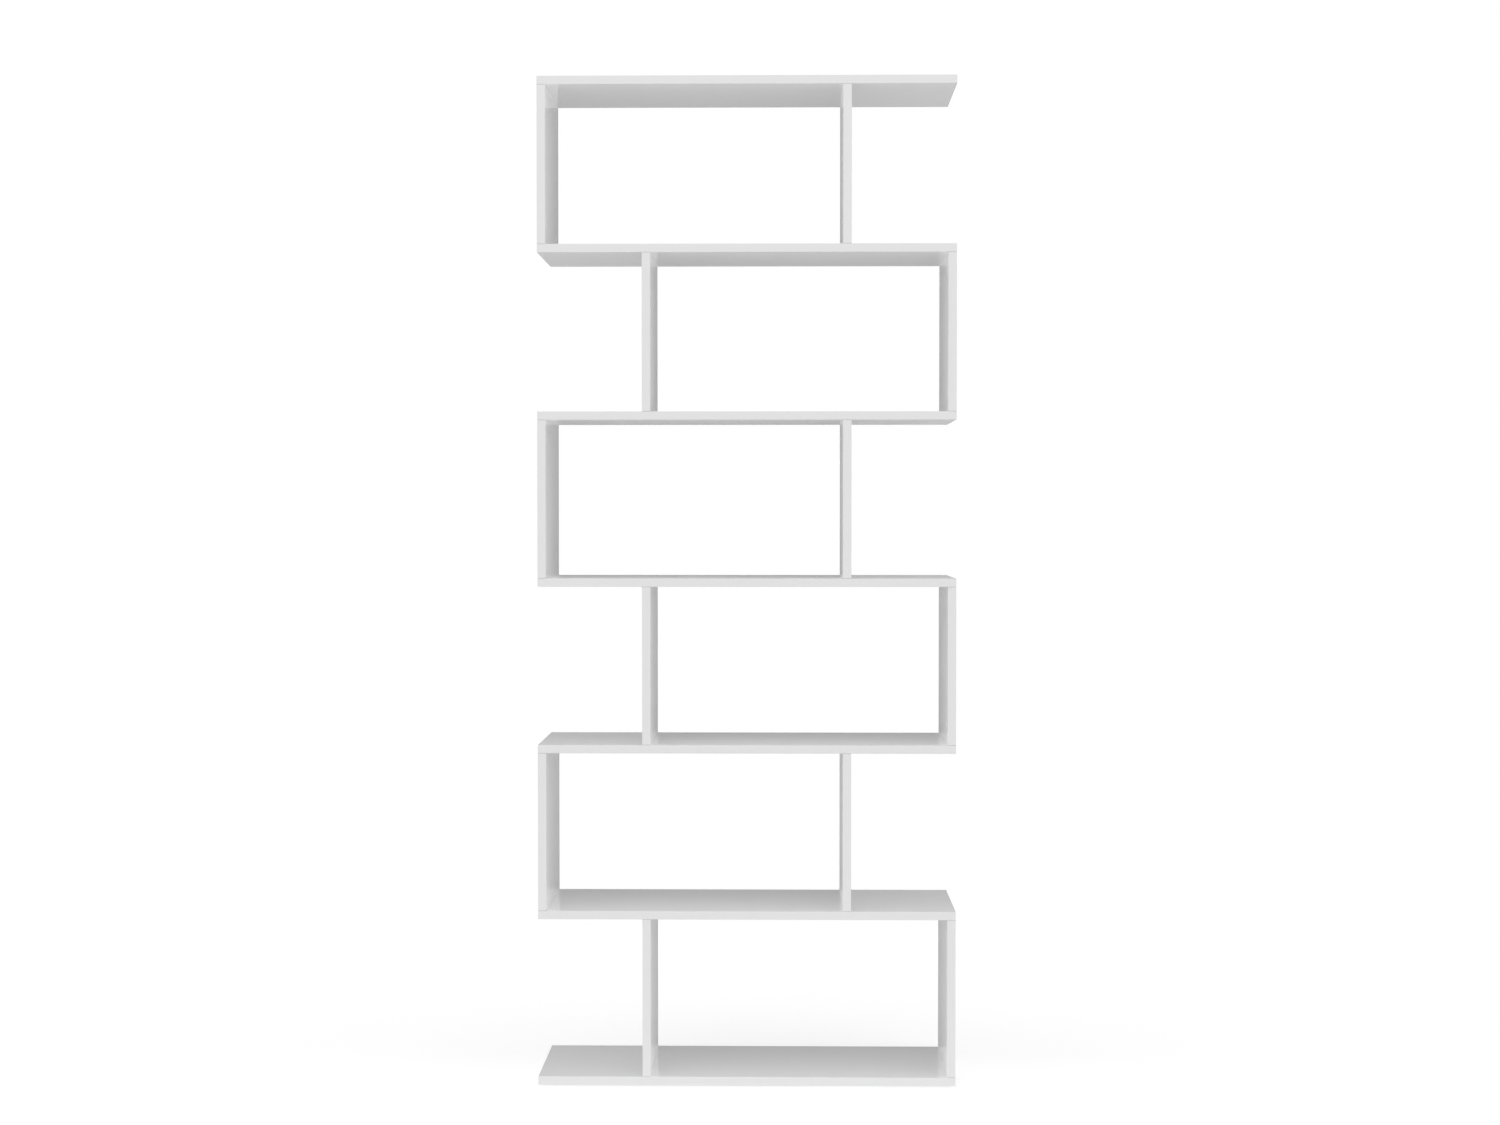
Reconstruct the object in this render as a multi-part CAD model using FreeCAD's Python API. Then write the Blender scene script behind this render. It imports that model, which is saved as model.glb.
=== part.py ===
"""Zig-zag shelving unit: seven gloss white shelves, with a side panel and a partition in each tier.

The side panels close the right and the left end of the tiers in turn, so the open ends alternate.
Millimetres, +Z up, front towards -Y, origin on the floor under the middle of the unit.
"""
import FreeCAD
import Part
import math
import os

Vector = FreeCAD.Vector

# The unit as a whole
UNIT_WIDTH = 800.0
UNIT_DEPTH = 250.0
BOARD_THICKNESS = 16.0
TIER_COUNT = 6
TIER_OPENING = 303.0  # clear height between two shelves
OPEN_END = 200.0  # from the open end of a tier to the outer face of its partition

# The glued edging strips, the rounding of their arrises and the trimming of their ends
EDGING_THICKNESS = 1.3
ARRIS_RADIUS = 1.0
END_SETBACK = 0.3  # an upright's strips stop short of its ends, so that the board seats on the shelf
END_CHAMFER = 0.6  # on the ends of an upright's strips, at the joints
ROUNDING_LIMIT = 0.9  # the most of its wall that a rounding or chamfer may take

# The row of fittings in each end of an upright
FITTING_SETBACK = 37.0  # from the front or back edge of the board to a cam bolt
DOWEL_SPACING = 32.0  # from a cam bolt to the dowel beside it
SHELF_SKIN = 4.0  # board left under a blind hole in a shelf
HOLE_END_GAP = 1.0  # room past the end of a bolt, dowel, nail or screw
FIT = 0.05  # radial room round whatever is pressed, glued or driven into a hole

# Wooden dowels
DOWEL_DIAMETER = 8.0
DOWEL_IN_UPRIGHT = 19.0
DOWEL_CHAMFER = 1.0

# Cam locks, let into one face of an upright
CAM_DIAMETER = 15.0
CAM_FROM_END = 34.0  # from the end of the upright to the cam's axis
CAM_FLOOR = 3.5  # board left under the cam
CAM_RECESS = 0.4  # top of the cam below the face of the board
CAM_CLEARANCE = 0.1
JAW_CLEARANCE = 0.25  # between the jaws and the bolt's head and neck
CHAMBER_OFFSET = 1.2  # from the cam's axis to the middle of its chamber, away from the joint
DRIVE_LENGTH = 8.0
DRIVE_WIDTH = 1.6
DRIVE_DEPTH = 2.0

# Cam bolts, screwed into the shelf and gripped by the cam
BOLT_THREAD_DIAMETER = 5.0
BOLT_ROOT_DIAMETER = 3.6
BOLT_PITCH = 1.8
BOLT_COLLAR_HEIGHT = 1.5
BOLT_SHANK_DIAMETER = 6.0
BOLT_NECK_DIAMETER = 4.0
BOLT_NECK_OUTSIDE = 0.5  # length of the neck that shows outside the cam
BOLT_HEAD_DIAMETER = 6.8
BOLT_HEAD_LENGTH = 3.0
BOLT_HEAD_CHAMFER = 0.8
BOLT_HEAD_REACH = 2.5  # from the cam's axis to the shoulder of the head, towards the joint
BOLT_BORE_CLEARANCE = 0.6  # round the head as it goes in

# Thin stuck-on discs that cover the cams
COVER_OVERLAP = 1.5
COVER_THICKNESS = 0.3

# Nailed floor glides under the base board
GLIDE_DIAMETER = 22.0
GLIDE_HEIGHT = 4.0
GLIDE_ROUNDING = 1.2
GLIDE_INSET = 35.0  # from the edges of the base board to the middle of a corner glide
GLIDE_COLUMNS = 3
NAIL_DIAMETER = 2.0
NAIL_IN_BOARD = 10.0
NAIL_POINT = 2.5
NAIL_HEAD_DIAMETER = 6.0
NAIL_HEAD_THICKNESS = 0.8
NAIL_RECESS = 0.8  # head above the face that slides on the floor

# Angle brackets that hold the top board to a wall
BRACKET_SPACING = 500.0
BRACKET_WIDTH = 30.0
BRACKET_LEG = 25.0
BRACKET_THICKNESS = 2.0
BRACKET_BEND = 1.5  # inner radius of the bend
BRACKET_CORNER = 3.0
WALL_SLOT_WIDTH = 5.5
WALL_SLOT_LENGTH = 12.0
WALL_SLOT_FROM_END = 9.0  # from the top of the bracket to the middle of the slot
SCREW_SPACING = 16.0
SCREW_FROM_END = 8.0  # from the front end of the bracket to the screws
SCREW_DIAMETER = 3.5
SCREW_IN_BOARD = 10.0
SCREW_POINT = 3.0
SCREW_HEAD_DIAMETER = 7.0
SCREW_HEAD_HEIGHT = 2.4
SCREW_HEAD_ROUNDING = 1.6
SCREW_HOLE_CLEARANCE = 0.5
SCREW_DRIVE_LENGTH = 4.0
SCREW_DRIVE_WIDTH = 0.9
SCREW_DRIVE_DEPTH = 1.3

# Places worked out from the sizes above
TIER_PITCH = TIER_OPENING + BOARD_THICKNESS
SHELF_COUNT = TIER_COUNT + 1
TOP_LEVEL = GLIDE_HEIGHT + TIER_COUNT * TIER_PITCH + BOARD_THICKNESS
HALF_WIDTH = UNIT_WIDTH / 2
HALF_DEPTH = UNIT_DEPTH / 2
HALF_BOARD = BOARD_THICKNESS / 2
ARRIS = min(ARRIS_RADIUS, ROUNDING_LIMIT * EDGING_THICKNESS)
END_TRIM = min(END_CHAMFER, ROUNDING_LIMIT * EDGING_THICKNESS)
BOLT_ROW = HALF_DEPTH - FITTING_SETBACK
DOWEL_ROW = BOLT_ROW - DOWEL_SPACING
SHELF_HOLE_DEPTH = BOARD_THICKNESS - SHELF_SKIN
IN_SHELF = SHELF_HOLE_DEPTH - HOLE_END_GAP
HEAD_SHOULDER = CAM_FROM_END - BOLT_HEAD_REACH
HEAD_TOP = HEAD_SHOULDER + BOLT_HEAD_LENGTH
SAME_PLACE = 0.01  # two edges or faces this close lie at one level

X_AXIS = Vector(1, 0, 0)
Y_AXIS = Vector(0, 1, 0)
Z_AXIS = Vector(0, 0, 1)


def block(x_ends, y_ends, z_ends):
    """A box between two ends on each axis."""
    corner = Vector(x_ends[0], y_ends[0], z_ends[0])
    return Part.makeBox(x_ends[1] - x_ends[0], y_ends[1] - y_ends[0], z_ends[1] - z_ends[0], corner)


def turned(profile):
    """A piece turned about the Z axis from (radius, height) points, the first and last on the axis."""
    points = [Vector(radius, 0, height) for radius, height in profile]
    face = Part.Face(Part.makePolygon(points + points[:1]))
    return face.revolve(Vector(), Z_AXIS, 360)


def moved(shape, x, y, z):
    """A copy of the shape at another place."""
    copy = shape.copy()
    copy.translate(Vector(x, y, z))
    return copy


def half_turn(shape, centre, axis):
    """A copy of the shape turned by half a turn."""
    copy = shape.copy()
    copy.rotate(centre, axis, 180)
    return copy


def level_edges(shape, level):
    """The edges of a shape that lie flat at one height."""
    return [edge for edge in shape.Edges
            if abs(edge.BoundBox.ZMin - level) < SAME_PLACE
            and abs(edge.BoundBox.ZMax - level) < SAME_PLACE]


def edges_along(shape, axis):
    """The straight edges of a shape that run along an axis."""
    return [edge for edge in shape.Edges
            if len(edge.Vertexes) == 2
            and abs((edge.Vertexes[1].Point - edge.Vertexes[0].Point).dot(axis)) > edge.Length - SAME_PLACE]


def panel_side(tier):
    """Which end of a tier its side panel closes: the right end in the lowest tier, then in turn."""
    return 1 if tier % 2 == 0 else -1


def upright_places(tier):
    """The middle planes of a tier's side panel and partition."""
    side_panel = HALF_WIDTH - HALF_BOARD
    partition = HALF_WIDTH - OPEN_END - HALF_BOARD
    return {"side_panel": panel_side(tier) * side_panel, "partition": -panel_side(tier) * partition}


def shelf_level(shelf):
    """The height of a shelf's underside."""
    return GLIDE_HEIGHT + shelf * TIER_PITCH


def shelf_name(shelf):
    """The lowest shelf is the base board and the highest the top board."""
    return {0: "base_board", TIER_COUNT: "top_board"}.get(shelf, f"shelf_{shelf}")


def fitting_holes(place, foot, into):
    """Blind holes in a shelf's face, at height foot, for the bolts and dowels of one upright."""
    holes = []
    for row, diameter in ((BOLT_ROW, BOLT_THREAD_DIAMETER), (DOWEL_ROW, DOWEL_DIAMETER)):
        for y in (-row, row):
            start = Vector(place, y, foot)
            holes.append(Part.makeCylinder(diameter / 2 + FIT, SHELF_HOLE_DEPTH, start, into))
    return holes


def shelf_holes(shelf):
    """All the holes in one shelf: fittings from above and below, glide nails and bracket screws."""
    holes = []
    if shelf < TIER_COUNT:
        for place in upright_places(shelf).values():
            holes += fitting_holes(place, BOARD_THICKNESS, -Z_AXIS)
    if shelf > 0:
        for place in upright_places(shelf - 1).values():
            holes += fitting_holes(place, 0, Z_AXIS)
    if shelf == 0:
        for x, y in glide_places():
            depth = NAIL_IN_BOARD + HOLE_END_GAP
            holes.append(Part.makeCylinder(NAIL_DIAMETER / 2 + FIT, depth, Vector(x, y, 0), Z_AXIS))
    if shelf == TIER_COUNT:
        for x, y in screw_places():
            depth = SCREW_IN_BOARD + HOLE_END_GAP
            start = Vector(x, y, BOARD_THICKNESS)
            holes.append(Part.makeCylinder(SCREW_DIAMETER / 2 + FIT, depth, start, -Z_AXIS))
    return holes


def shelf_board(shelf):
    """The faced chipboard of one shelf, without its edging, with its underside at height 0."""
    long_edge = HALF_WIDTH - EDGING_THICKNESS
    short_edge = HALF_DEPTH - EDGING_THICKNESS
    board = block((-long_edge, long_edge), (-short_edge, short_edge), (0, BOARD_THICKNESS))
    return board.cut(shelf_holes(shelf))


def shelf_edging():
    """Four strips round a shelf: the long ones run past the ends of the short ones."""
    height = (0, BOARD_THICKNESS)
    whole = block((-HALF_WIDTH, HALF_WIDTH), (-HALF_DEPTH, HALF_DEPTH), height)
    whole = whole.makeFillet(ARRIS, whole.Edges)
    inner_x = HALF_WIDTH - EDGING_THICKNESS
    inner_y = HALF_DEPTH - EDGING_THICKNESS
    strips = [
        block((-HALF_WIDTH, HALF_WIDTH), (-HALF_DEPTH, -inner_y), height),
        block((-HALF_WIDTH, HALF_WIDTH), (inner_y, HALF_DEPTH), height),
        block((-HALF_WIDTH, -inner_x), (-inner_y, inner_y), height),
        block((inner_x, HALF_WIDTH), (-inner_y, inner_y), height),
    ]
    return Part.makeCompound([whole.common(strip).Solids[0] for strip in strips])


def end_bores():
    """The bores in the lower end of an upright: bolts and dowels from the end, cams from the +X face."""
    bores = []
    for y in (-BOLT_ROW, BOLT_ROW):
        bolt_bore = BOLT_HEAD_DIAMETER / 2 + BOLT_BORE_CLEARANCE
        bores.append(Part.makeCylinder(bolt_bore, HEAD_TOP + HOLE_END_GAP, Vector(0, y, 0), Z_AXIS))
        cam_seat = Vector(CAM_FLOOR - HALF_BOARD, y, CAM_FROM_END)
        bores.append(Part.makeCylinder(CAM_DIAMETER / 2, BOARD_THICKNESS - CAM_FLOOR, cam_seat, X_AXIS))
    for y in (-DOWEL_ROW, DOWEL_ROW):
        depth = DOWEL_IN_UPRIGHT + HOLE_END_GAP
        bores.append(Part.makeCylinder(DOWEL_DIAMETER / 2 + FIT, depth, Vector(0, y, 0), Z_AXIS))
    return bores


def upper_end(shape):
    """A copy of what sits in an upright's lower end, turned over into its upper end."""
    return half_turn(shape, Vector(0, 0, TIER_OPENING / 2), X_AXIS)


def upright_board():
    """The faced chipboard of a side panel or partition: cams in its +X face, raw ends, foot at 0."""
    edge = HALF_DEPTH - EDGING_THICKNESS
    board = block((-HALF_BOARD, HALF_BOARD), (-edge, edge), (0, TIER_OPENING))
    lower = end_bores()
    return board.cut(lower + [upper_end(bore) for bore in lower])


def upright_edging():
    """The two strips on the front and back edges of an upright, with a chamfer at each end."""
    height = (END_SETBACK, TIER_OPENING - END_SETBACK)
    whole = block((-HALF_BOARD, HALF_BOARD), (-HALF_DEPTH, HALF_DEPTH), height)
    whole = whole.makeChamfer(END_TRIM, edges_along(whole, X_AXIS))
    whole = whole.makeFillet(ARRIS, edges_along(whole, Z_AXIS))
    inner = HALF_DEPTH - EDGING_THICKNESS
    front = block((-HALF_BOARD, HALF_BOARD), (-HALF_DEPTH, -inner), height)
    back = block((-HALF_BOARD, HALF_BOARD), (inner, HALF_DEPTH), height)
    return Part.makeCompound([whole.common(strip).Solids[0] for strip in (front, back)])


def cam_lock():
    """A cast cam on its axis along X: a drive face, a chamber for the bolt's head and a slotted jaw."""
    radius = CAM_DIAMETER / 2 - CAM_CLEARANCE
    seat = CAM_FLOOR - HALF_BOARD
    drive_face = HALF_BOARD - CAM_RECESS
    cam = Part.makeCylinder(radius, drive_face - seat, Vector(seat, 0, CAM_FROM_END), X_AXIS)
    head_room = BOLT_HEAD_DIAMETER / 2 + JAW_CLEARANCE
    neck_room = BOLT_NECK_DIAMETER / 2 + JAW_CLEARANCE
    shoulder_corner = math.hypot(CHAMBER_OFFSET + BOLT_HEAD_REACH, BOLT_HEAD_DIAMETER / 2)
    chamber_start = Vector(-head_room, 0, CAM_FROM_END + CHAMBER_OFFSET)
    chamber = Part.makeCylinder(shoulder_corner + JAW_CLEARANCE, 2 * head_room, chamber_start, X_AXIS)
    below = (CAM_FROM_END - CAM_DIAMETER, CAM_FROM_END)
    neck_slot = block((-neck_room, neck_room), (-CAM_DIAMETER, CAM_DIAMETER), below)
    beside = (CAM_FROM_END - head_room, CAM_FROM_END + head_room)
    head_entry = block((-head_room, head_room), (0, CAM_DIAMETER), beside)
    drive = (drive_face - DRIVE_DEPTH, drive_face)
    across = (-DRIVE_LENGTH / 2, DRIVE_LENGTH / 2)
    along = (CAM_FROM_END - DRIVE_LENGTH / 2, CAM_FROM_END + DRIVE_LENGTH / 2)
    narrow_y = (-DRIVE_WIDTH / 2, DRIVE_WIDTH / 2)
    narrow_z = (CAM_FROM_END - DRIVE_WIDTH / 2, CAM_FROM_END + DRIVE_WIDTH / 2)
    cross = [block(drive, across, narrow_z), block(drive, narrow_y, along)]
    return cam.cut([chamber, neck_slot, head_entry] + cross)


def cam_bolt():
    """A turned steel bolt on Z: thread down in the shelf, collar on its face, neck and head in the cam."""
    crest = BOLT_THREAD_DIAMETER / 2
    root = BOLT_ROOT_DIAMETER / 2
    head = BOLT_HEAD_DIAMETER / 2
    shank = BOLT_SHANK_DIAMETER / 2
    neck = BOLT_NECK_DIAMETER / 2
    neck_start = CAM_FROM_END - CAM_DIAMETER / 2 - BOLT_NECK_OUTSIDE
    profile = [(0, -IN_SHELF), (root, -IN_SHELF)]
    for turn in range(int(IN_SHELF / BOLT_PITCH)):
        start = turn * BOLT_PITCH - IN_SHELF
        profile += [(crest, start + BOLT_PITCH / 2), (root, start + BOLT_PITCH)]
    profile += [
        (root, 0),
        (head, 0),
        (head, BOLT_COLLAR_HEIGHT),
        (shank, BOLT_COLLAR_HEIGHT),
        (shank, neck_start),
        (neck, neck_start),
        (neck, HEAD_SHOULDER),
        (head, HEAD_SHOULDER),
        (head, HEAD_TOP - BOLT_HEAD_CHAMFER),
        (head - BOLT_HEAD_CHAMFER, HEAD_TOP),
        (0, HEAD_TOP),
    ]
    return turned(profile)


def dowel():
    """A glued wooden dowel on Z, across the joint between a shelf and an upright."""
    radius = DOWEL_DIAMETER / 2
    end = radius - DOWEL_CHAMFER
    return turned([
        (0, -IN_SHELF),
        (end, -IN_SHELF),
        (radius, DOWEL_CHAMFER - IN_SHELF),
        (radius, DOWEL_IN_UPRIGHT - DOWEL_CHAMFER),
        (end, DOWEL_IN_UPRIGHT),
        (0, DOWEL_IN_UPRIGHT),
    ])


def cover_disc():
    """A stuck-on disc over a cam, on the +X face of the upright."""
    radius = CAM_DIAMETER / 2 + COVER_OVERLAP
    return Part.makeCylinder(radius, COVER_THICKNESS, Vector(HALF_BOARD, 0, CAM_FROM_END), X_AXIS)


def upright_hardware():
    """The fittings in both ends of one upright, as lists by kind, in the upright's own place."""
    kinds = {
        "cam_locks": (cam_lock(), BOLT_ROW),
        "cam_bolts": (cam_bolt(), BOLT_ROW),
        "wood_dowels": (dowel(), DOWEL_ROW),
        "cover_discs": (cover_disc(), BOLT_ROW),
    }
    hardware = {}
    for kind, (piece, row) in kinds.items():
        lower = [moved(piece, 0, y, 0) for y in (-row, row)]
        hardware[kind] = lower + [upper_end(fitting) for fitting in lower]
    return hardware


def glide_places():
    """Where the floor glides stand: a row along the front and a row along the back."""
    across = HALF_WIDTH - GLIDE_INSET
    back = HALF_DEPTH - GLIDE_INSET
    step = 2 * across / (GLIDE_COLUMNS - 1)
    return [(column * step - across, y) for column in range(GLIDE_COLUMNS) for y in (-back, back)]


def floor_glide():
    """A plastic glide on Z from the floor up, with a rounded foot and a counterbored nail hole."""
    glide = Part.makeCylinder(GLIDE_DIAMETER / 2, GLIDE_HEIGHT)
    glide = glide.makeFillet(min(GLIDE_ROUNDING, ROUNDING_LIMIT * GLIDE_HEIGHT), level_edges(glide, 0))
    nail_hole = Part.makeCylinder(NAIL_DIAMETER / 2 + FIT, GLIDE_HEIGHT)
    counterbore = Part.makeCylinder(NAIL_HEAD_DIAMETER / 2 + FIT, NAIL_RECESS + NAIL_HEAD_THICKNESS)
    return glide.cut([nail_hole, counterbore])


def glide_nail():
    """A steel nail on Z that holds a glide, its head clear of the floor."""
    shank = NAIL_DIAMETER / 2
    neck = NAIL_RECESS + NAIL_HEAD_THICKNESS
    tip = GLIDE_HEIGHT + NAIL_IN_BOARD
    return turned([
        (0, NAIL_RECESS),
        (NAIL_HEAD_DIAMETER / 2, NAIL_RECESS),
        (NAIL_HEAD_DIAMETER / 2, neck),
        (shank, neck),
        (shank, tip - NAIL_POINT),
        (0, tip),
    ])


def bracket_places():
    """The middle of each wall bracket along the top board."""
    return {"left": -BRACKET_SPACING / 2, "right": BRACKET_SPACING / 2}


def screw_places():
    """Where the bracket screws go into the top board."""
    y = HALF_DEPTH - BRACKET_LEG + SCREW_FROM_END
    return [(x + side * SCREW_SPACING / 2, y) for x in bracket_places().values() for side in (-1, 1)]


def bend_edges(bracket, y, z):
    """The edges that run across a bracket at one corner of its bend."""
    return [edge for edge in edges_along(bracket, X_AXIS)
            if abs(edge.Vertexes[0].Y - y) < SAME_PLACE
            and abs(edge.Vertexes[0].Z - z) < SAME_PLACE]


def wall_bracket():
    """A bent steel angle: one leg flat on the top board, one up the wall, centred on X, foot at 0."""
    width = (-BRACKET_WIDTH / 2, BRACKET_WIDTH / 2)
    front = HALF_DEPTH - BRACKET_LEG
    wall_leg = block(width, (HALF_DEPTH - BRACKET_THICKNESS, HALF_DEPTH), (0, BRACKET_LEG))
    top_leg = block(width, (front, HALF_DEPTH), (0, BRACKET_THICKNESS))
    bracket = wall_leg.fuse(top_leg).removeSplitter()
    inside = bend_edges(bracket, HALF_DEPTH - BRACKET_THICKNESS, BRACKET_THICKNESS)
    bracket = bracket.makeFillet(BRACKET_BEND, inside)
    outside = bend_edges(bracket, HALF_DEPTH, 0)
    bracket = bracket.makeFillet(BRACKET_BEND + BRACKET_THICKNESS, outside)
    corners = [edge for edge in edges_along(bracket, Z_AXIS) if edge.Vertexes[0].Y < front + SAME_PLACE]
    corners += [edge for edge in edges_along(bracket, Y_AXIS)
                if edge.Vertexes[0].Z > BRACKET_LEG - SAME_PLACE]
    bracket = bracket.makeFillet(BRACKET_CORNER, corners)
    return bracket.cut([wall_slot()] + bracket_holes())


def wall_slot():
    """The cutter for the slot that takes the wall screw, long across the unit."""
    height = BRACKET_LEG - WALL_SLOT_FROM_END
    radius = WALL_SLOT_WIDTH / 2
    straight = WALL_SLOT_LENGTH / 2 - radius
    start = HALF_DEPTH - BRACKET_THICKNESS
    middle = block((-straight, straight), (start, HALF_DEPTH), (height - radius, height + radius))
    ends = [Part.makeCylinder(radius, BRACKET_THICKNESS, Vector(x, start, height), Y_AXIS)
            for x in (-straight, straight)]
    return middle.fuse(ends)


def bracket_holes():
    """The cutters for the two screw holes in a bracket's flat leg."""
    radius = SCREW_DIAMETER / 2 + SCREW_HOLE_CLEARANCE
    y = HALF_DEPTH - BRACKET_LEG + SCREW_FROM_END
    return [Part.makeCylinder(radius, BRACKET_THICKNESS, Vector(side * SCREW_SPACING / 2, y, 0))
            for side in (-1, 1)]


def bracket_screw():
    """A pan-head screw on Z, the underside of its head at the top of a bracket that lies at 0."""
    tip = -SCREW_IN_BOARD
    shank = SCREW_DIAMETER / 2
    body = turned([
        (0, tip),
        (shank, tip + SCREW_POINT),
        (shank, BRACKET_THICKNESS),
        (0, BRACKET_THICKNESS),
    ])
    seat = Vector(0, 0, BRACKET_THICKNESS)
    head = Part.makeCylinder(SCREW_HEAD_DIAMETER / 2, SCREW_HEAD_HEIGHT, seat)
    crown = BRACKET_THICKNESS + SCREW_HEAD_HEIGHT
    rounding = min(SCREW_HEAD_ROUNDING, ROUNDING_LIMIT * SCREW_HEAD_HEIGHT)
    head = head.makeFillet(rounding, level_edges(head, crown))
    long_way = (-SCREW_DRIVE_LENGTH / 2, SCREW_DRIVE_LENGTH / 2)
    short_way = (-SCREW_DRIVE_WIDTH / 2, SCREW_DRIVE_WIDTH / 2)
    deep = (crown - SCREW_DRIVE_DEPTH, crown)
    cross = [block(long_way, short_way, deep), block(short_way, long_way, deep)]
    return body.fuse(head).removeSplitter().cut(cross)


nodes = {}

edging = shelf_edging()
for shelf in range(SHELF_COUNT):
    nodes[shelf_name(shelf)] = moved(shelf_board(shelf), 0, 0, shelf_level(shelf))
    nodes[shelf_name(shelf) + "_edging"] = moved(edging, 0, 0, shelf_level(shelf))

board = upright_board()
strips = upright_edging()
hardware = upright_hardware()
fittings = {kind: [] for kind in hardware}
for tier in range(TIER_COUNT):
    foot = shelf_level(tier) + BOARD_THICKNESS
    cams_face_left = panel_side(tier) > 0
    for kind, place in upright_places(tier).items():
        name = f"{kind}_{tier + 1}"
        turned_board = half_turn(board, Vector(), Z_AXIS) if cams_face_left else board
        nodes[name] = moved(turned_board, place, 0, foot)
        nodes[name + "_edging"] = moved(strips, place, 0, foot)
        for fitting_kind, pieces in hardware.items():
            for piece in pieces:
                facing = half_turn(piece, Vector(), Z_AXIS) if cams_face_left else piece
                fittings[fitting_kind].append(moved(facing, place, 0, foot))
for kind, pieces in fittings.items():
    nodes[kind] = Part.makeCompound(pieces)

nodes["floor_glides"] = Part.makeCompound([moved(floor_glide(), x, y, 0) for x, y in glide_places()])
nodes["glide_nails"] = Part.makeCompound([moved(glide_nail(), x, y, 0) for x, y in glide_places()])

for side, place in bracket_places().items():
    nodes[f"wall_bracket_{side}"] = moved(wall_bracket(), place, 0, TOP_LEVEL)
screws = [moved(bracket_screw(), x, y, TOP_LEVEL) for x, y in screw_places()]
nodes["bracket_screws"] = Part.makeCompound(screws)

os.makedirs("parts", exist_ok=True)
for name, shape in nodes.items():
    shape.exportStep(f"parts/{name}.step")
    print(name, len(shape.Solids), "solids", round(shape.Volume / 1000, 2), "cm3", shape.isValid())
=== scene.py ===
import math

import bmesh
import bpy
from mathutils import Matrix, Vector


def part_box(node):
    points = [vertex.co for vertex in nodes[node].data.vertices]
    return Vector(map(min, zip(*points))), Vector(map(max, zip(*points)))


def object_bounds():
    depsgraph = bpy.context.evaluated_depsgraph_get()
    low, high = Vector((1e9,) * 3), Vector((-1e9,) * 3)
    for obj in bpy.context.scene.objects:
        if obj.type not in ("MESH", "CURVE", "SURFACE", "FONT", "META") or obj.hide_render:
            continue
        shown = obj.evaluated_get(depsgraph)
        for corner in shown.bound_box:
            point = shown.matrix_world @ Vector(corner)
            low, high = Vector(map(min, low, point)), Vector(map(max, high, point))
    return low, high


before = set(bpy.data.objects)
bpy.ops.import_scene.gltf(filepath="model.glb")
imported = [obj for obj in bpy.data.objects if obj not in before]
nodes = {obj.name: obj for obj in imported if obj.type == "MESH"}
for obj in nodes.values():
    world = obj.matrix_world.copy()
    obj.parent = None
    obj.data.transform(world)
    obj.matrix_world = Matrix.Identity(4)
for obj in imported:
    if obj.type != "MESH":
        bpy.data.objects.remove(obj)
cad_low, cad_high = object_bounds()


# Shelves, side panels and partitions: chipboard 16 mm thick with a hard white gloss skin pressed on
# both faces, sawn to size and drilled. Each upright is held between two shelves by bolts and dowels.
boards = [name for name in nodes if name + "_edging" in nodes]
uprights = [name for name in boards if name.startswith(("side_panel", "partition"))]
shelves = [name for name in boards if name not in uprights]


class Tone:
    """A socket that gives a value, a colour or a vector, so that sums on values read as sums."""

    def __init__(self, tree, socket):
        self.tree = tree
        self.socket = socket

    def out(self, name):
        """One of the outputs of this socket's node."""
        return Tone(self.tree, self.socket.node.outputs[name])

    def maths(self, operation, first, second):
        """What a Math node gives for two values."""
        return self.tree.node("Math", {"operation": operation}, {0: first, 1: second})

    def __add__(self, other):
        return self.maths("ADD", self, other)

    def __radd__(self, other):
        return self.maths("ADD", other, self)

    def __sub__(self, other):
        return self.maths("SUBTRACT", self, other)

    def __rsub__(self, other):
        return self.maths("SUBTRACT", other, self)

    def __mul__(self, other):
        return self.maths("MULTIPLY", self, other)

    def __rmul__(self, other):
        return self.maths("MULTIPLY", other, self)

    def __gt__(self, other):
        return self.maths("GREATER_THAN", self, other)

    def __abs__(self):
        return self.maths("ABSOLUTE", self, 0.0)


class Tree:
    """The nodes of one finish or of the world, put in one at a time."""

    # The places of the sockets that a Mix node keeps for colours
    MIX_SHARE, MIX_FIRST, MIX_SECOND, MIX_RESULT = 0, 6, 7, 2

    def __init__(self, owner):
        owner.use_nodes = True
        self.nodes = owner.node_tree.nodes
        self.links = owner.node_tree.links
        self.nodes.clear()

    def node(self, kind, settings, sockets, output=0):
        """A new node, with its settings set first and then the values or links of its sockets."""
        made = self.nodes.new("ShaderNode" + kind)
        for name, value in settings.items():
            if name == "stops":
                ramp = made.color_ramp.elements
                while len(ramp) < len(value):
                    ramp.new(1.0)
                for stop, (position, colour) in zip(ramp, value):
                    stop.position = position
                    stop.color = (*colour, 1.0)
            else:
                setattr(made, name, value)
        for name, value in sockets.items():
            if isinstance(value, Tone):
                self.links.new(value.socket, made.inputs[name])
            else:
                made.inputs[name].default_value = value
        return Tone(self, made.outputs[output]) if made.outputs else None

    def noise(self, place, sizes, layers):
        """Noise from 0 to 1, in blotches of sizes metres along X, Y and Z, with finer layers over them."""
        stretch = [1 / size for size in sizes]
        scaled = self.node("VectorMath", {"operation": "MULTIPLY"}, {0: place, 1: stretch})
        return self.node("TexNoise", {}, {"Vector": scaled, "Scale": 1.0, "Detail": layers})

    def blend(self, share, first, second):
        """A colour between two colours."""
        sockets = {self.MIX_SHARE: share, self.MIX_FIRST: first, self.MIX_SECOND: second}
        return self.node("Mix", {"data_type": "RGBA"}, sockets, self.MIX_RESULT)

    def bump(self, height, rise):
        """A surface normal from a height of 0 to 1 that stands for rise metres."""
        return self.node("Bump", {}, {"Height": height, "Strength": 1.0, "Distance": rise})


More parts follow.
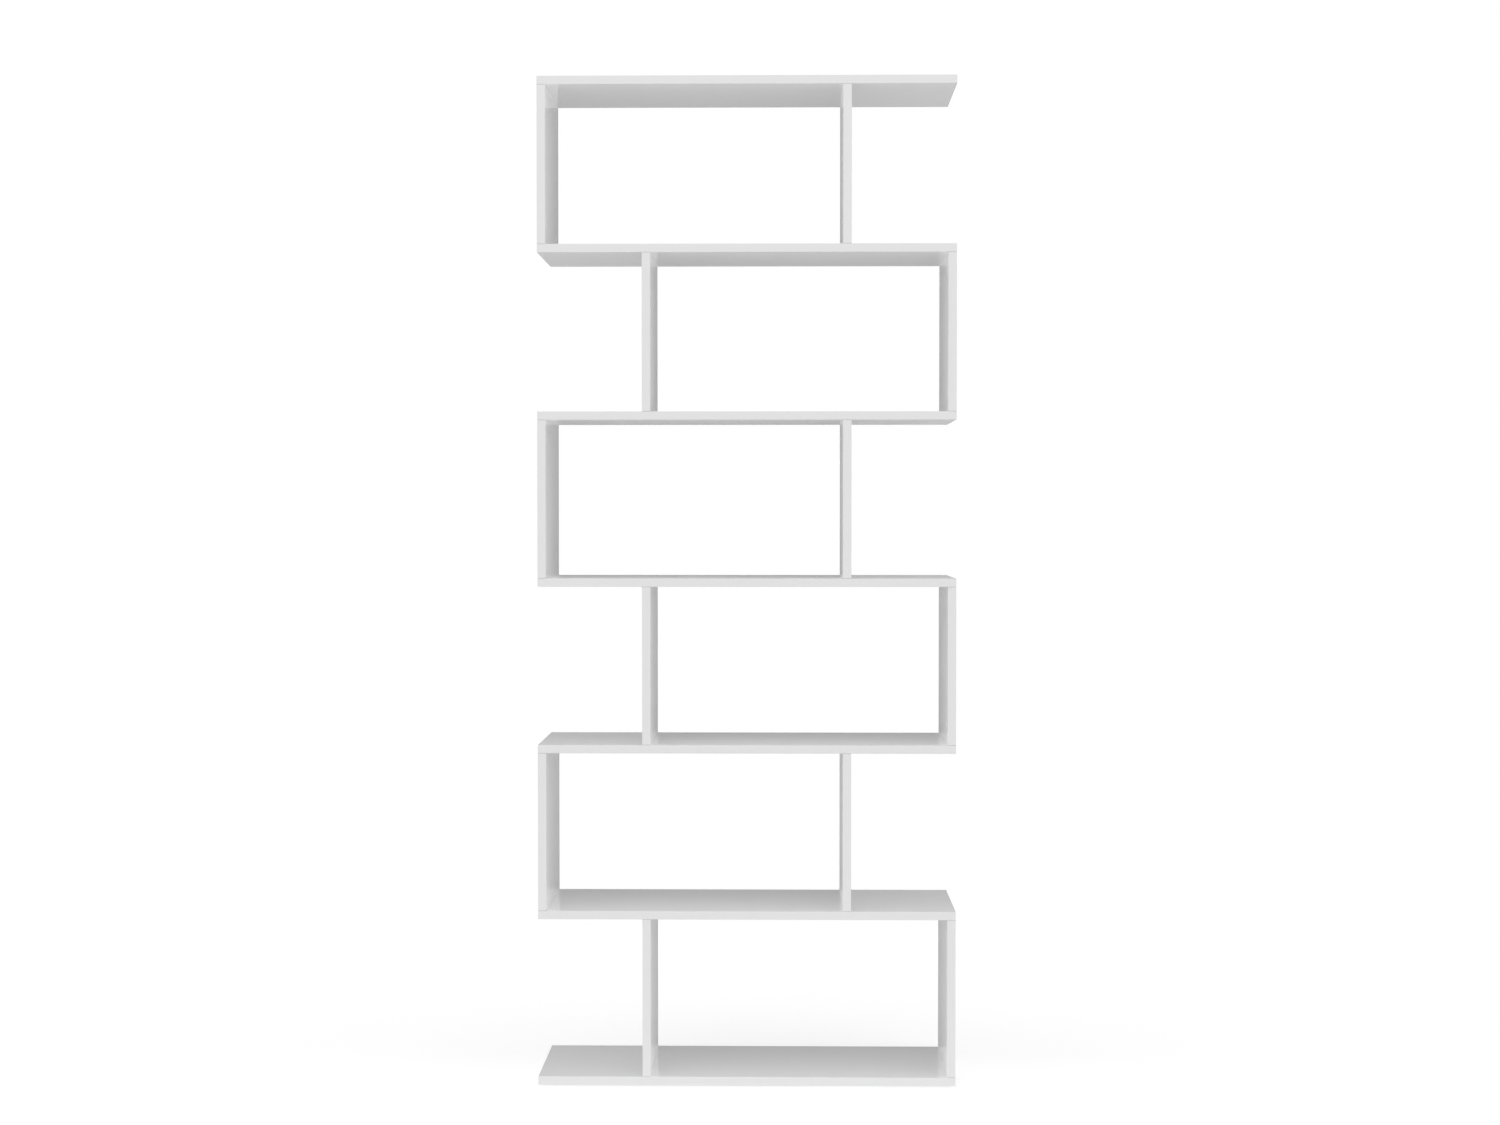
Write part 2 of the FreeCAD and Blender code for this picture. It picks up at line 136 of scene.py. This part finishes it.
def finish(name, make, *details):
    """A material whose shader sockets are what make gives for its nodes."""
    material = bpy.data.materials.new(name)
    tree = Tree(material)
    place = tree.node("TexCoord", {}, {}, "Object")
    shader = tree.node("BsdfPrincipled", {}, make(tree, place, *details))
    tree.node("OutputMaterial", {}, {"Surface": shader})
    return material


def dress(names, material):
    """Gives CAD nodes their finish."""
    for name in names:
        nodes[name].data.materials.clear()
        nodes[name].data.materials.append(material)


def grey(level):
    """A colour with no tint."""
    return (level, level, level, 1.0)


SKIN_WHITE = 0.95
SKIN_CLOUDED = 0.94
CLOUD_SIZES = [0.35] * 3
CLOUD_LAYERS = 2
SKIN_MIRROR = 0.25  # what the gloss mirrors, the same share at every angle
SKIN_ROUGHNESS = 0.02
SMUDGE_ROUGHNESS = 0.03
SMUDGE_SIZES = [0.09] * 3
SMUDGE_LAYERS = 3
PEEL_SIZES = [0.006] * 3
PEEL_LAYERS = 1
PEEL_RISE = 1.2e-6
CHIP_SIZE = 0.0035
CHIP_TONES = [(0.0, (0.30, 0.19, 0.10)), (0.5, (0.46, 0.33, 0.19)), (1.0, (0.60, 0.46, 0.29))]
CHIP_ROUGHNESS = 0.8
FACE_SHARE = 0.5  # part of the normal across the board, above which a surface is a skinned face


def faced_chipboard(tree, place, axis_across):
    clouds = tree.noise(place, CLOUD_SIZES, CLOUD_LAYERS)
    smudges = tree.noise(place, SMUDGE_SIZES, SMUDGE_LAYERS)
    peel = tree.noise(place, PEEL_SIZES, PEEL_LAYERS)
    skin = tree.blend(clouds, grey(SKIN_CLOUDED), grey(SKIN_WHITE))
    chips = tree.node("TexVoronoi", {}, {"Vector": place, "Scale": 1 / CHIP_SIZE}, "Color")
    chips = tree.node("ValToRGB", {"stops": CHIP_TONES}, {"Fac": chips})
    normal = tree.node("NewGeometry", {}, {}, "True Normal")
    across = tree.node("SeparateXYZ", {}, {"Vector": normal}, axis_across)
    skinned = abs(across) > FACE_SHARE
    gloss = SKIN_ROUGHNESS + smudges * SMUDGE_ROUGHNESS
    return {
        "Base Color": tree.blend(skinned, chips, skin),
        "Metallic": skinned * SKIN_MIRROR,
        "Specular IOR Level": 0.0,
        "Roughness": gloss * skinned + (1 - skinned) * CHIP_ROUGHNESS,
        "Normal": tree.bump(peel, PEEL_RISE),
    }


dress(shelves, finish("gloss_shelf", faced_chipboard, "Z"))
dress(uprights, finish("gloss_upright", faced_chipboard, "X"))


# Edging: white plastic strips 1.3 mm thick, glued round the raw sides of the boards, then scraped
# and buffed, which rounds their arrises and leaves faint lines along each strip.
STRIP_WHITE = 0.82
STRIP_CLOUDED = 0.81
STRIP_ROUGHNESS = 0.10
LINE_ROUGHNESS = 0.08
LINE_LENGTH = 0.15
LINE_WIDTH = 0.0007
LINE_LAYERS = 2
LINE_RISE = 4e-7
LEVEL_LINES = [LINE_LENGTH, LINE_LENGTH, LINE_WIDTH]
PLUMB_LINES = [LINE_WIDTH, LINE_LENGTH, LINE_LENGTH]


def buffed_strip(tree, place, line_sizes):
    clouds = tree.noise(place, CLOUD_SIZES, CLOUD_LAYERS)
    lines = tree.noise(place, line_sizes, LINE_LAYERS)
    return {
        "Base Color": tree.blend(clouds, grey(STRIP_CLOUDED), grey(STRIP_WHITE)),
        "Roughness": STRIP_ROUGHNESS + lines * LINE_ROUGHNESS,
        "Normal": tree.bump(lines, LINE_RISE),
    }


dress([name + "_edging" for name in shelves], finish("level_edging", buffed_strip, LEVEL_LINES))
dress([name + "_edging" for name in uprights], finish("plumb_edging", buffed_strip, PLUMB_LINES))


# Cam bolts: turned from mild steel and zinc plated, which leaves a clouded blue-grey shine. They are
# screwed into the shelves, two for each end of an upright.
PLATED_PALE = (0.70, 0.71, 0.72, 1.0)
PLATED_BLUE = (0.55, 0.57, 0.60, 1.0)
PLATED_ROUGHNESS = 0.48
PLATING_ROUGHNESS = 0.1
PLATING_SIZES = [0.006] * 3
PLATING_LAYERS = 3
BRUSH_ROUGHNESS = 0.1
BRUSH_SIZES = [0.012, 0.0004, 0.0004]
BRUSH_LAYERS = 2
BRUSH_RISE = 2e-6


def plated_steel(tree, place):
    clouds = tree.noise(place, PLATING_SIZES, PLATING_LAYERS)
    brushed = tree.noise(place, BRUSH_SIZES, BRUSH_LAYERS)
    return {
        "Base Color": tree.blend(clouds, PLATED_BLUE, PLATED_PALE),
        "Metallic": 1.0,
        "Roughness": PLATED_ROUGHNESS + clouds * PLATING_ROUGHNESS + brushed * BRUSH_ROUGHNESS,
        "Normal": tree.bump(brushed, BRUSH_RISE),
    }


plated = finish("plated_steel", plated_steel)
dress(["cam_bolts"], plated)


# Dowels: beech pins 8 mm thick, glued across each joint between a shelf and an upright. They locate
# the boards and are out of sight once the unit is built.
BEECH_PALE = (0.62, 0.43, 0.26, 1.0)
BEECH_DARK = (0.47, 0.30, 0.17, 1.0)
BEECH_ROUGHNESS = 0.55
GRAIN_ROUGHNESS = 0.2
GRAIN_SIZES = [0.0009, 0.0009, 0.02]
GRAIN_LAYERS = 4
GRAIN_RISE = 2e-5


def beech(tree, place):
    grain = tree.noise(place, GRAIN_SIZES, GRAIN_LAYERS)
    return {
        "Base Color": tree.blend(grain, BEECH_DARK, BEECH_PALE),
        "Roughness": BEECH_ROUGHNESS + grain * GRAIN_ROUGHNESS,
        "Normal": tree.bump(grain, GRAIN_RISE),
    }


dress(["wood_dowels"], finish("beech", beech))


# Cam locks: zinc castings let into one face of each upright, where a quarter turn draws the cam
# bolt's head in and pulls the joint tight.
ZINC_PALE = (0.60, 0.61, 0.62, 1.0)
ZINC_DARK = (0.42, 0.43, 0.44, 1.0)
ZINC_ROUGHNESS = 0.35
CAST_ROUGHNESS = 0.2
CAST_SIZES = [0.0012] * 3
CAST_LAYERS = 4
CAST_RISE = 3e-5


def cast_zinc(tree, place):
    pits = tree.noise(place, CAST_SIZES, CAST_LAYERS)
    return {
        "Base Color": tree.blend(pits, ZINC_DARK, ZINC_PALE),
        "Metallic": 1.0,
        "Roughness": ZINC_ROUGHNESS + pits * CAST_ROUGHNESS,
        "Normal": tree.bump(pits, CAST_RISE),
    }


dress(["cam_locks"], finish("cast_zinc", cast_zinc))


# Cover discs: thin white film punched into discs and stuck over the cam locks, a little less glossy
# than the boards.
FILM_WHITE = 0.94
FILM_CLOUDED = 0.92
FILM_ROUGHNESS = 0.10
FILM_CLOUD_LAYERS = 2
FILM_GRAIN_ROUGHNESS = 0.1
FILM_GRAIN_SIZES = [0.0006] * 3
FILM_GRAIN_LAYERS = 2
FILM_GRAIN_RISE = 3e-6


def cover_film(tree, place):
    clouds = tree.noise(place, SMUDGE_SIZES, FILM_CLOUD_LAYERS)
    grain = tree.noise(place, FILM_GRAIN_SIZES, FILM_GRAIN_LAYERS)
    return {
        "Base Color": tree.blend(clouds, grey(FILM_CLOUDED), grey(FILM_WHITE)),
        "Metallic": SKIN_MIRROR,
        "Specular IOR Level": 0.0,
        "Roughness": FILM_ROUGHNESS + grain * FILM_GRAIN_ROUGHNESS,
        "Normal": tree.bump(grain, FILM_GRAIN_RISE),
    }


dress(["cover_discs"], finish("cover_film", cover_film))


# Floor glides: moulded white plastic pads under the base board, scuffed where they slide. A nail,
# plated like the bolts, goes up through each and holds it.
GLIDE_WHITE = (0.76, 0.76, 0.74, 1.0)
GLIDE_SCUFFED = (0.58, 0.57, 0.55, 1.0)
GLIDE_ROUGHNESS = 0.35
SCUFF_ROUGHNESS = 0.3
SCUFF_SIZES = [0.004] * 3
SCUFF_LAYERS = 5
SCUFF_RISE = 2e-5
GLIDE_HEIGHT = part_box("floor_glides")[1].z


def glide_plastic(tree, place):
    scuffs = tree.noise(place, SCUFF_SIZES, SCUFF_LAYERS)
    height = tree.node("SeparateXYZ", {}, {"Vector": place}, "Z")
    worn = (1 - height * (1 / GLIDE_HEIGHT)) * scuffs
    return {
        "Base Color": tree.blend(worn, GLIDE_WHITE, GLIDE_SCUFFED),
        "Roughness": GLIDE_ROUGHNESS + scuffs * SCUFF_ROUGHNESS,
        "Normal": tree.bump(scuffs, SCUFF_RISE),
    }


dress(["floor_glides"], finish("glide_plastic", glide_plastic))
dress(["glide_nails"], plated)


# Wall brackets: angles pressed from steel strip and plated like the bolts. Two screws hold each on top
# of the top board, at its back, and a slot takes the screw into the wall.
dress(["wall_bracket_left", "wall_bracket_right", "bracket_screws"], plated)


# Floor: a plain pale disc that isn't part of the unit and takes its shadow. The camera sees it lifted
# to white, it throws a little extra light up at the unit, and the gloss mirrors the room through it.
FLOOR_RADIUS = 1.6
FLOOR_SIDES = 96
FLOOR_TONE = 0.70
FLOOR_MOTTLED = 0.72
FLOOR_LIFT = 0.45
FLOOR_GLOW = 0.36
WHITE = grey(1.0)

floor_mesh = bpy.data.meshes.new("floor")
disc = bmesh.new()
bmesh.ops.create_circle(disc, cap_ends=True, radius=FLOOR_RADIUS, segments=FLOOR_SIDES)
disc.to_mesh(floor_mesh)
disc.free()
floor = bpy.data.objects.new("floor", floor_mesh)
bpy.context.scene.collection.objects.link(floor)

pale_floor = bpy.data.materials.new("pale_floor")
tree = Tree(pale_floor)
place = tree.node("TexCoord", {}, {}, "Object")
mottle = tree.noise(place, CLOUD_SIZES, CLOUD_LAYERS)
colour = tree.blend(mottle, grey(FLOOR_TONE), grey(FLOOR_MOTTLED))
matt = tree.node("BsdfDiffuse", {}, {"Color": colour})
ray = tree.node("LightPath", {}, {})
glow = ray.out("Is Camera Ray") * FLOOR_LIFT + ray.out("Is Diffuse Ray") * FLOOR_GLOW
lift = tree.node("Emission", {}, {"Color": WHITE, "Strength": glow})
lifted = tree.node("AddShader", {}, {0: matt, 1: lift})
open_air = tree.node("BsdfTransparent", {}, {})
surface = tree.node("MixShader", {}, {0: ray.out("Is Glossy Ray"), 1: lifted, 2: open_air})
tree.node("OutputMaterial", {}, {"Surface": surface})
floor_mesh.materials.append(pale_floor)


# World: white to the camera. A broad soft dome lights the unit, mostly from the front. The gloss mirrors
# a pale room that is dim straight behind the unit.
DOME_FRONT = 0.75
DOME_SIDE = 1.45
DOME_BACK = 0.40
ROOM_PALE = 0.7
ROOM_DIM = 0.05
DIM_EDGE = 0.90  # cosine of the angle, from straight behind, at which the room begins to dim
DIM_HEART = 0.965  # and of the angle at which it is dimmest

world = bpy.data.worlds.new("studio")
bpy.context.scene.world = world
tree = Tree(world)
direction = tree.node("TexCoord", {}, {}, "Generated")
behind = tree.node("SeparateXYZ", {}, {"Vector": direction}, "Y")
in_front = tree.node("Math", {"operation": "MAXIMUM"}, {0: behind * -1, 1: 0.0})
front_half = in_front > 0.0
dome = DOME_BACK + front_half * (DOME_SIDE - DOME_BACK) + in_front * (DOME_FRONT - DOME_SIDE)
room = tree.node("MapRange", {"interpolation_type": "SMOOTHSTEP"},
                 {"Value": behind, "From Min": DIM_EDGE, "From Max": DIM_HEART,
                  "To Min": ROOM_PALE, "To Max": ROOM_DIM})
ray = tree.node("LightPath", {}, {})
seen = ray.out("Is Camera Ray")
mirrored = tree.node("Math", {"operation": "MAXIMUM"},
                     {0: ray.out("Is Glossy Ray"), 1: ray.out("Is Transmission Ray")})
mirrored = mirrored * (1 - seen)
strength = seen + mirrored * room + (1 - seen - mirrored) * dome
light = tree.node("Background", {}, {"Color": WHITE, "Strength": strength})
tree.node("OutputWorld", {}, {"Surface": light})


# Lamp: one soft box well behind the unit, so that its back is lit about as plainly as its front. The
# camera and the gloss don't see it.
LAMP_SIZE = 1.2
LAMP_POWER = 150
LAMP_BEHIND = 6.875  # from the back of the unit
LAMP_HEIGHT = 0.9

soft_box = bpy.data.lights.new("lamp_back", "AREA")
soft_box.size = LAMP_SIZE
soft_box.energy = LAMP_POWER
lamp = bpy.data.objects.new("lamp_back", soft_box)
lamp_place = Vector((0.0, cad_high.y + LAMP_BEHIND, LAMP_HEIGHT))
unit_middle = (cad_low + cad_high) / 2
lamp.location = lamp_place
lamp.rotation_euler = (unit_middle - lamp_place).to_track_quat("-Z", "Y").to_euler()
lamp.visible_camera = False
lamp.visible_glossy = False
bpy.context.scene.collection.objects.link(lamp)


# Camera: in front of the unit, a little right of its middle and just above half its height, turned
# slightly left and down. Its lens and place are those at which the unit's edges fit the photograph.
CAMERA_LENS = 53.21  # millimetres, as the sensor's width is
CAMERA_SENSOR = 36.0
CAMERA_RIGHT = 0.0711
CAMERA_BEFORE_FRONT = 4.231
CAMERA_ABOVE_BASE = 1.0967
CAMERA_DOWN = math.radians(1.259)
CAMERA_LEFT = math.radians(0.875)

base_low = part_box("base_board")[0]
view = bpy.data.cameras.new("camera")
view.lens = CAMERA_LENS
view.sensor_width = CAMERA_SENSOR
camera = bpy.data.objects.new("camera", view)
camera.location = (CAMERA_RIGHT, cad_low.y - CAMERA_BEFORE_FRONT, base_low.z + CAMERA_ABOVE_BASE)
camera.rotation_euler = (math.pi / 2 - CAMERA_DOWN, 0, CAMERA_LEFT)
bpy.context.scene.collection.objects.link(camera)
bpy.context.scene.camera = camera
bpy.context.scene.view_settings.view_transform = "Standard"
